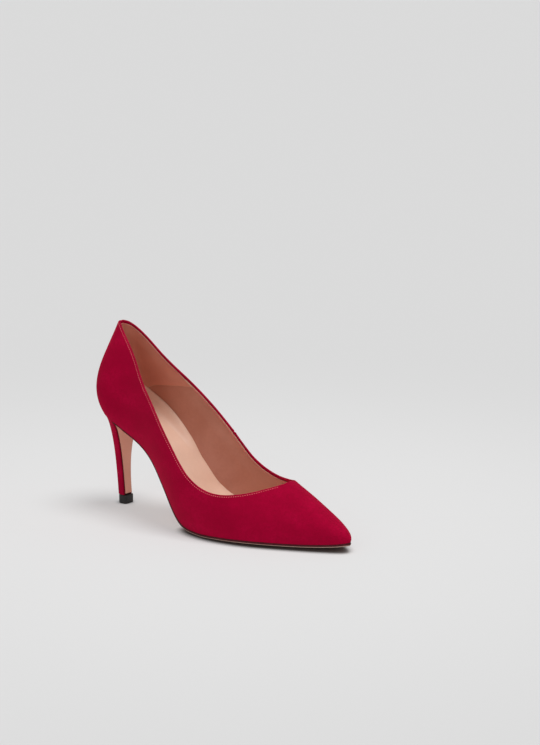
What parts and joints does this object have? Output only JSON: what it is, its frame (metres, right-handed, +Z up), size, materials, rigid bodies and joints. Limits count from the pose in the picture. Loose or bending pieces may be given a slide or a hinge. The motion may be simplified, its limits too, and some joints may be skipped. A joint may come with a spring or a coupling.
{
  "type": "high heel pump",
  "caption": "Woman's suede court shoe with a pointed toe, a low-cut collar and a slim covered stiletto heel; right foot.",
  "frame": {"origin": "on the ground, under the middle of the shoe's bounding box", "axes": "+X towards the toe, +Y towards the inside of the foot, +Z up"},
  "size_m": [0.2344, 0.0786, 0.143],
  "materials": {
    "suede": "napped crimson suede",
    "lining": "smooth tan lining leather",
    "sock": "smooth pale tan leather",
    "sole": "satin tan leather with black painted edges",
    "top_piece": "black polyurethane",
    "board": "bonded fibre board",
    "stiffener": "resin-stiffened non-woven",
    "foam": "cream foam",
    "abs": "moulded ABS",
    "steel": "zinc-plated steel"
  },
  "bodies": {
    "root": {"upper": "suede", "quarter_lining": "lining", "vamp_lining": "lining", "topline_tape": "stiffener", "toe_puff": "stiffener", "heel_counter": "stiffener", "sock_lining": "sock", "foam_underlay": "foam", "insole_board": "board", "steel_shank": "steel", "shank_rivet_1": "steel", "shank_rivet_2": "steel", "bottom_filler": "foam", "outsole": "sole", "heel_block": "abs", "heel_cover": "suede", "heel_dowel": "steel", "heel_screw": "steel", "heel_nail_1": "steel", "heel_nail_2": "steel", "heel_nail_3": "steel", "heel_nail_4": "steel", "top_piece": "top_piece", "top_piece_pin": "steel"}
  },
  "joints": []
}
